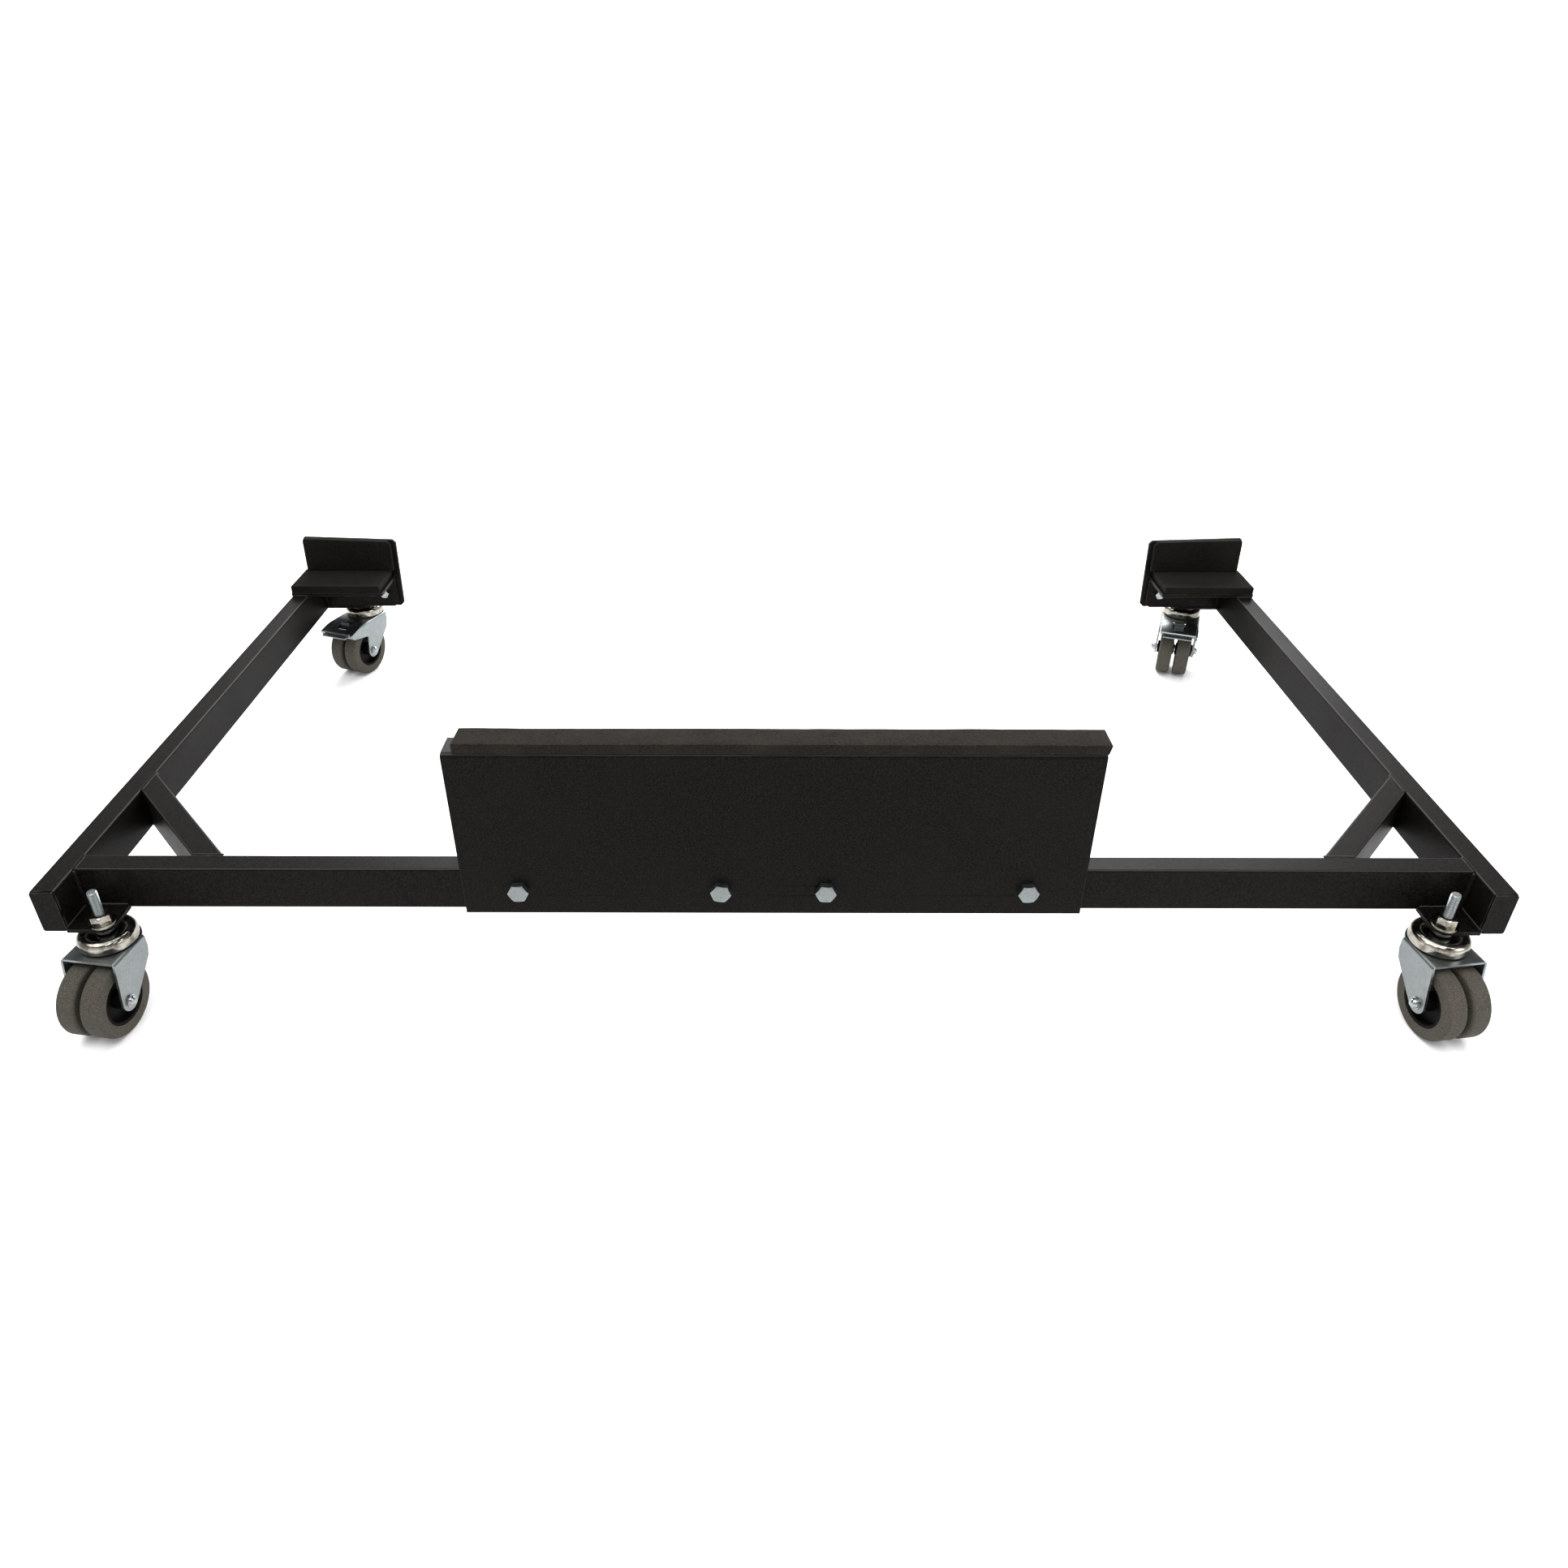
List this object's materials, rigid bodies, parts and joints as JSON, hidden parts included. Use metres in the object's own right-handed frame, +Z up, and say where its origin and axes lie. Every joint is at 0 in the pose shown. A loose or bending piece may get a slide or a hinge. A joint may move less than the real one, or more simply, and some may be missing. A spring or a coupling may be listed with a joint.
{
  "type": "furniture dolly",
  "caption": "U-shaped welded tube dolly with a padded front bracket, padded rear corner brackets and twin-wheel swivel castors, the rear ones with foot brakes.",
  "frame": {"origin": "centre of the footprint on the floor, wheels standing on it", "axes": "+X across the frame to the right as seen from the front bracket, +Y from the front bracket to the open rear, +Z up"},
  "size_m": [1.484, 0.9265, 0.3092],
  "materials": {
    "frame_powder_coat": "semi-matt black powder coat with a fine texture",
    "sponge_foam": "closed-cell sponge, very matt brownish black",
    "zinc_plate": "bright zinc plating, satin, slightly blue",
    "nickel_plate": "polished plated steel, warm reflections",
    "grey_tyre": "warm mid-grey non-marking tyre",
    "hub_plastic": "black moulded plastic"
  },
  "bodies": {
    "root": {"side_arm_left": "frame_powder_coat", "side_arm_right": "frame_powder_coat", "crossbar": "frame_powder_coat", "brace_left": "frame_powder_coat", "brace_right": "frame_powder_coat", "arm_end_plates": "frame_powder_coat", "castor_plate_front_left": "frame_powder_coat", "castor_plate_front_right": "frame_powder_coat", "castor_plate_rear_left": "frame_powder_coat", "castor_plate_rear_right": "frame_powder_coat", "front_bracket": "frame_powder_coat", "front_bracket_foam": "sponge_foam", "front_bracket_bolts": "zinc_plate", "front_bracket_nuts": "zinc_plate", "rear_angle_left": "frame_powder_coat", "rear_angle_right": "frame_powder_coat", "rear_back_plate_left": "frame_powder_coat", "rear_back_plate_right": "frame_powder_coat", "rear_shelf_foam_left": "sponge_foam", "rear_shelf_foam_right": "sponge_foam", "rear_back_foam_left": "sponge_foam", "rear_back_foam_right": "sponge_foam", "rear_bracket_bolts": "zinc_plate", "rear_bracket_nuts": "zinc_plate", "castor_stems": "zinc_plate", "castor_stem_nuts": "nickel_plate", "castor_caps": "nickel_plate", "castor_balls": "zinc_plate"},
    "castor_front_left": {"fork_front_left": "zinc_plate", "axle_front_left": "zinc_plate"},
    "wheel_front_left_a": {"hub_front_left_a": "hub_plastic", "tyre_front_left_a": "grey_tyre"},
    "wheel_front_left_b": {"hub_front_left_b": "hub_plastic", "tyre_front_left_b": "grey_tyre"},
    "castor_front_right": {"fork_front_right": "zinc_plate", "axle_front_right": "zinc_plate"},
    "wheel_front_right_a": {"hub_front_right_a": "hub_plastic", "tyre_front_right_a": "grey_tyre"},
    "wheel_front_right_b": {"hub_front_right_b": "hub_plastic", "tyre_front_right_b": "grey_tyre"},
    "castor_rear_left": {"fork_rear_left": "zinc_plate", "axle_rear_left": "zinc_plate", "brake_pin_left": "zinc_plate", "brake_spring_left": "zinc_plate"},
    "wheel_rear_left_a": {"hub_rear_left_a": "hub_plastic", "tyre_rear_left_a": "grey_tyre"},
    "wheel_rear_left_b": {"hub_rear_left_b": "hub_plastic", "tyre_rear_left_b": "grey_tyre"},
    "castor_rear_right": {"fork_rear_right": "zinc_plate", "axle_rear_right": "zinc_plate", "brake_pin_right": "zinc_plate", "brake_spring_right": "zinc_plate"},
    "wheel_rear_right_a": {"hub_rear_right_a": "hub_plastic", "tyre_rear_right_a": "grey_tyre"},
    "wheel_rear_right_b": {"hub_rear_right_b": "hub_plastic", "tyre_rear_right_b": "grey_tyre"},
    "pedal_left": {"brake_pedal_left": "zinc_plate"},
    "pedal_right": {"brake_pedal_right": "zinc_plate"}
  },
  "joints": [
    {"name": "swivel_front_left", "type": "hinge", "parent": "root", "child": "castor_front_left", "pos_m": [-0.685, -0.3877, 0.108], "axis": [0, 0, 1], "continuous": true},
    {"name": "roll_front_left_a", "type": "hinge", "parent": "castor_front_left", "child": "wheel_front_left_a", "pos_m": [-0.69008, -0.4198, 0.04], "axis": [0.9877, -0.1564, 0], "continuous": true},
    {"name": "roll_front_left_b", "type": "hinge", "parent": "castor_front_left", "child": "wheel_front_left_b", "pos_m": [-0.69008, -0.4198, 0.04], "axis": [0.9877, -0.1564, 0], "continuous": true},
    {"name": "swivel_front_right", "type": "hinge", "parent": "root", "child": "castor_front_right", "pos_m": [0.685, -0.3877, 0.108], "axis": [0, 0, 1], "continuous": true},
    {"name": "roll_front_right_a", "type": "hinge", "parent": "castor_front_right", "child": "wheel_front_right_a", "pos_m": [0.69008, -0.4198, 0.04], "axis": [0.9877, 0.1564, 0], "continuous": true},
    {"name": "roll_front_right_b", "type": "hinge", "parent": "castor_front_right", "child": "wheel_front_right_b", "pos_m": [0.69008, -0.4198, 0.04], "axis": [0.9877, 0.1564, 0], "continuous": true},
    {"name": "swivel_rear_left", "type": "hinge", "parent": "root", "child": "castor_rear_left", "pos_m": [-0.67, 0.4338, 0.108], "axis": [0, 0, 1], "continuous": true},
    {"name": "roll_rear_left_a", "type": "hinge", "parent": "castor_rear_left", "child": "wheel_rear_left_a", "pos_m": [-0.68112, 0.40326, 0.04], "axis": [0.9397, -0.342, 0], "continuous": true},
    {"name": "roll_rear_left_b", "type": "hinge", "parent": "castor_rear_left", "child": "wheel_rear_left_b", "pos_m": [-0.68112, 0.40326, 0.04], "axis": [0.9397, -0.342, 0], "continuous": true},
    {"name": "swivel_rear_right", "type": "hinge", "parent": "root", "child": "castor_rear_right", "pos_m": [0.674, 0.4338, 0.108], "axis": [0, 0, 1], "continuous": true},
    {"name": "roll_rear_right_a", "type": "hinge", "parent": "castor_rear_right", "child": "wheel_rear_right_a", "pos_m": [0.66288, 0.40326, 0.04], "axis": [0.9397, -0.342, 0], "continuous": true},
    {"name": "roll_rear_right_b", "type": "hinge", "parent": "castor_rear_right", "child": "wheel_rear_right_b", "pos_m": [0.66288, 0.40326, 0.04], "axis": [0.9397, -0.342, 0], "continuous": true},
    {"name": "brake_left", "type": "hinge", "parent": "castor_rear_left", "child": "pedal_left", "pos_m": [-0.68197, 0.40091, 0.083], "axis": [0.9397, -0.342, 0], "range_deg": [0, 5]},
    {"name": "brake_right", "type": "hinge", "parent": "castor_rear_right", "child": "pedal_right", "pos_m": [0.66203, 0.40091, 0.083], "axis": [0.9397, -0.342, 0], "range_deg": [0, 5]}
  ]
}
